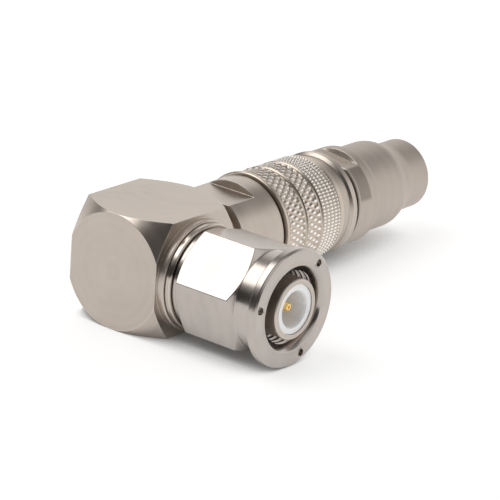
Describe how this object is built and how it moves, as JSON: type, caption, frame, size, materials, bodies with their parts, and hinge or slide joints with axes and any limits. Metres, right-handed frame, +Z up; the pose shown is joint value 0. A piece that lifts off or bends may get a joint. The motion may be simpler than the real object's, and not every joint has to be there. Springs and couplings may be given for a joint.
{
  "type": "tnc connector",
  "caption": "Right-angle threaded coaxial cable plug with a turning hexagon coupling nut, a knurled union sleeve and a flatted clamp nut with a stepped cable outlet.",
  "frame": {"origin": "centre of the coupling nut's front face, on the plug axis", "axes": "-Y out of the mating side, +X along the cable axis towards the cable, +Z up"},
  "size_m": [0.0646, 0.033, 0.0164],
  "materials": {
    "block_plating": "white-bronze plated brass, fine turned and milled finish",
    "nut_plating": "white-bronze plated brass, bright milled flats",
    "knurl_plating": "white-bronze plated brass, diamond knurled",
    "clamp_plating": "white-bronze plated brass, smooth turned",
    "contact_plating": "plated brass, smooth",
    "gold": "gold-plated brass, polished",
    "white_insulator": "white fluoropolymer, waxy",
    "black_rubber": "black rubber, matt",
    "face_rubber": "dark red-brown silicone rubber",
    "spring_bronze": "phosphor bronze strip"
  },
  "bodies": {
    "elbow": {"elbow_body": "block_plating", "access_cap": "block_plating", "front_bush": "contact_plating", "nut_clip": "spring_bronze", "outer_contact": "contact_plating", "face_gasket": "face_rubber", "front_insulator": "white_insulator", "centre_pin": "gold", "plug_bead": "white_insulator", "wire_pin": "gold", "neck_bead": "white_insulator", "rear_bead": "white_insulator", "neck_seal": "black_rubber", "sleeve_clip": "spring_bronze", "rear_body": "clamp_plating", "nut_seal": "black_rubber", "clamp_nut": "clamp_plating", "braid_clamp": "contact_plating", "clamp_washer": "contact_plating", "clamp_gasket": "face_rubber"},
    "nut": {"coupling_nut": "nut_plating"},
    "sleeve": {"knurled_sleeve": "knurl_plating"}
  },
  "joints": [
    {"name": "nut_spin", "type": "hinge", "parent": "elbow", "child": "nut", "pos_m": [0, 0.01, 0], "axis": [0, -1, 0], "continuous": true},
    {"name": "sleeve_spin", "type": "hinge", "parent": "elbow", "child": "sleeve", "pos_m": [0.027, 0.02485, 0], "axis": [1, 0, 0], "continuous": true}
  ]
}
